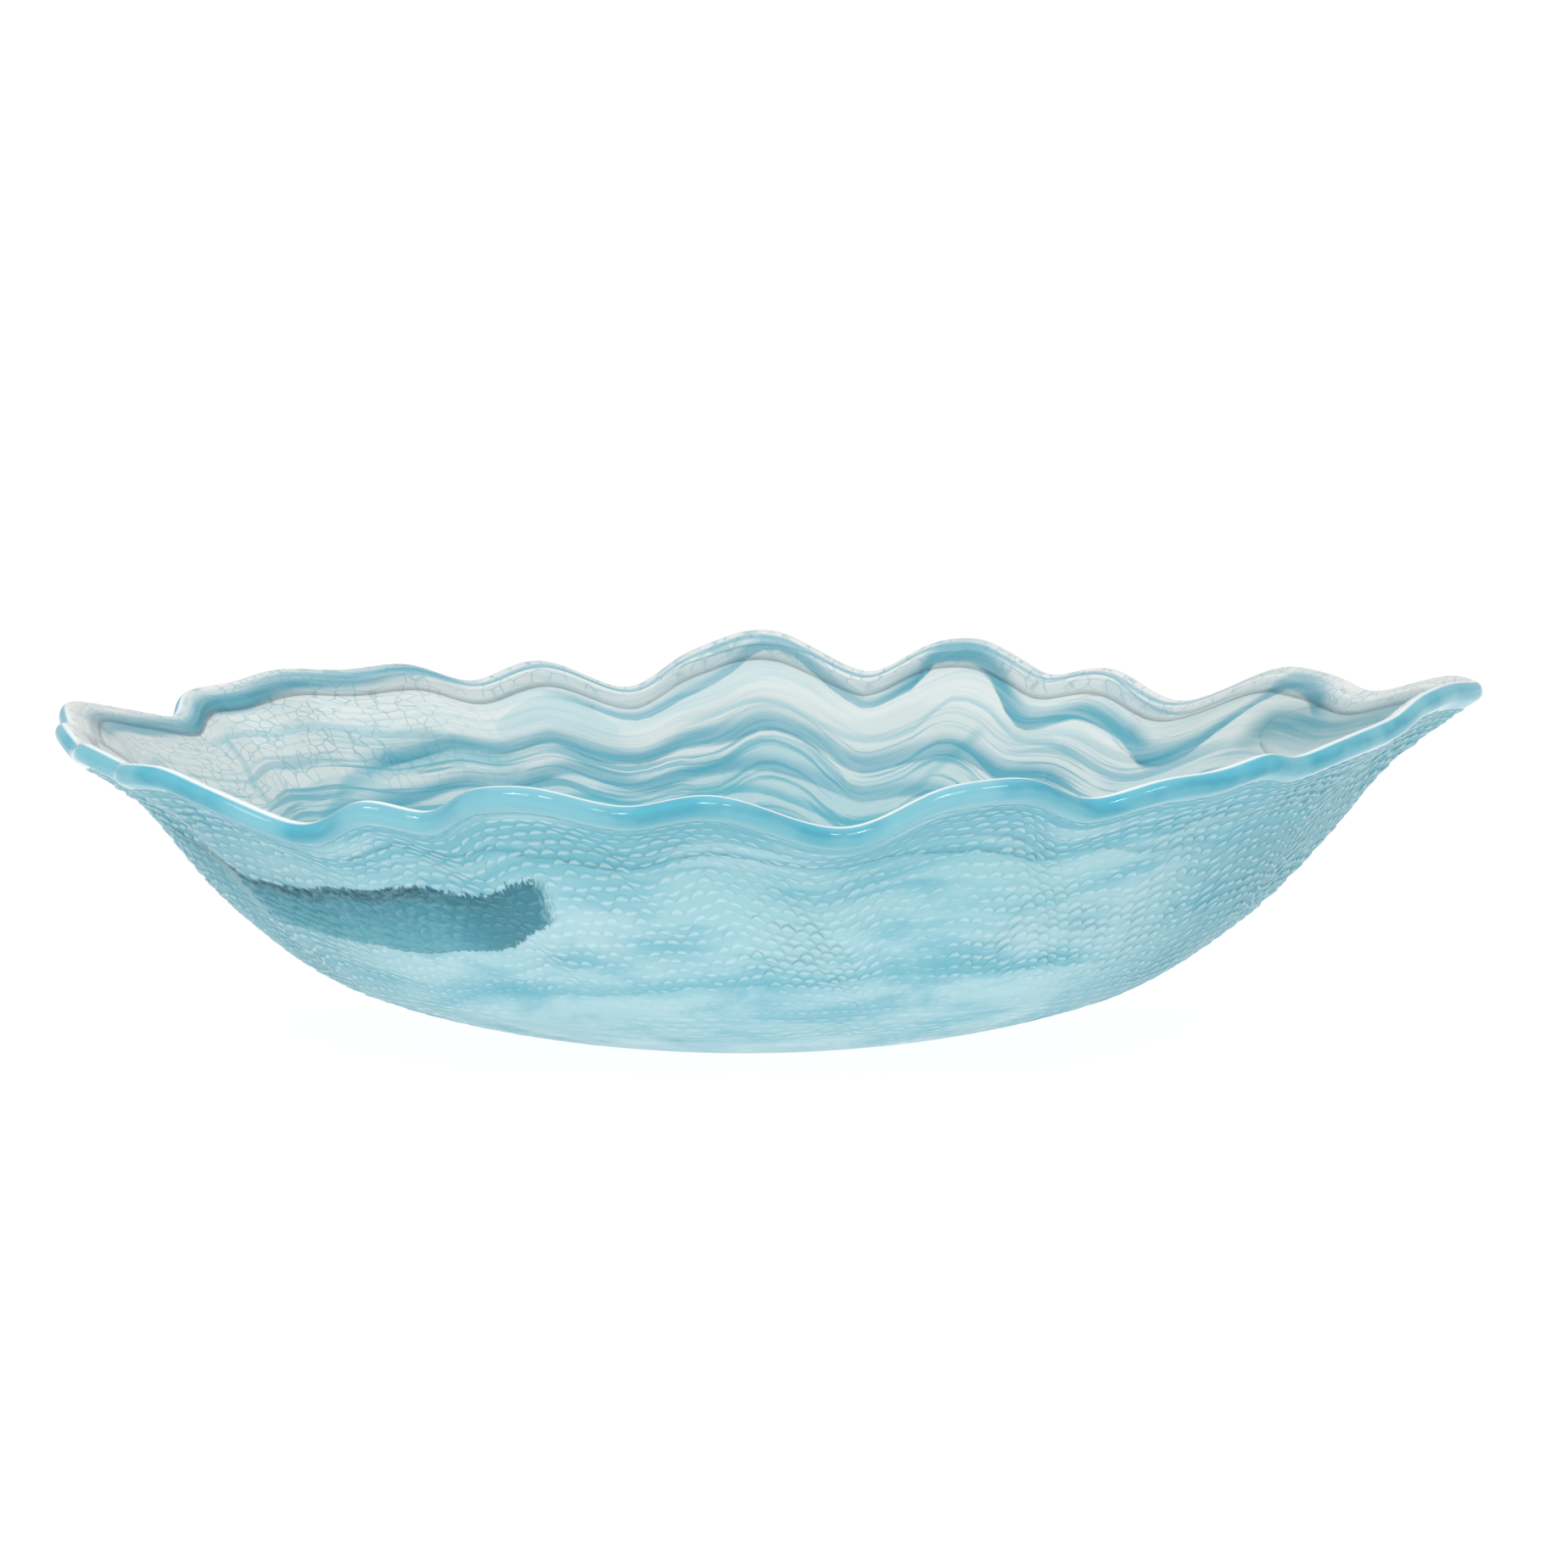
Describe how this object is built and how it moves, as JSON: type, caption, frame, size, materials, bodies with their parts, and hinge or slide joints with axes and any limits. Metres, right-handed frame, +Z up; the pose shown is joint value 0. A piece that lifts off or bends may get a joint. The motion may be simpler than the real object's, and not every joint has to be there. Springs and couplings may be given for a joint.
{
  "type": "art glass bowl",
  "caption": "Oval art glass centrepiece bowl with a ruffled lip, scale-textured aqua outside, clear smooth inside and coloured ribbons laid between the two layers of glass.",
  "frame": {"origin": "centre of the flat ground foot, on the surface that the bowl stands on", "axes": "+X along the bowl's length towards its raised, pointed end; +Y across its width, to the side seen at the back; +Z up"},
  "size_m": [0.3985, 0.2808, 0.1025],
  "materials": {
    "textured_aqua_glass": "satin fish-scale relief, marbled pale aqua",
    "clear_glass": "fire polished, glossy",
    "lip_aqua_glass": "fire polished, glossy",
    "ribbon_aqua_glass": "transparent colour between two layers of glass",
    "ribbon_teal_glass": "deeper transparent colour between two layers of glass"
  },
  "bodies": {
    "root": {"outer_textured_casing": "textured_aqua_glass", "inner_clear_casing": "clear_glass", "lip_wrap": "lip_aqua_glass", "aqua_ribbon_back_left": "ribbon_aqua_glass", "aqua_ribbon_back_rim": "ribbon_aqua_glass", "aqua_ribbon_back_right": "ribbon_aqua_glass", "aqua_ribbon_back_mid": "ribbon_aqua_glass", "aqua_ribbon_back_low": "ribbon_aqua_glass", "aqua_ribbon_left_end": "ribbon_aqua_glass", "aqua_ribbon_front_high": "ribbon_aqua_glass", "aqua_ribbon_front_low": "ribbon_aqua_glass", "teal_ribbon_right_end": "ribbon_teal_glass", "teal_ribbon_front_left": "ribbon_teal_glass"}
  },
  "joints": []
}
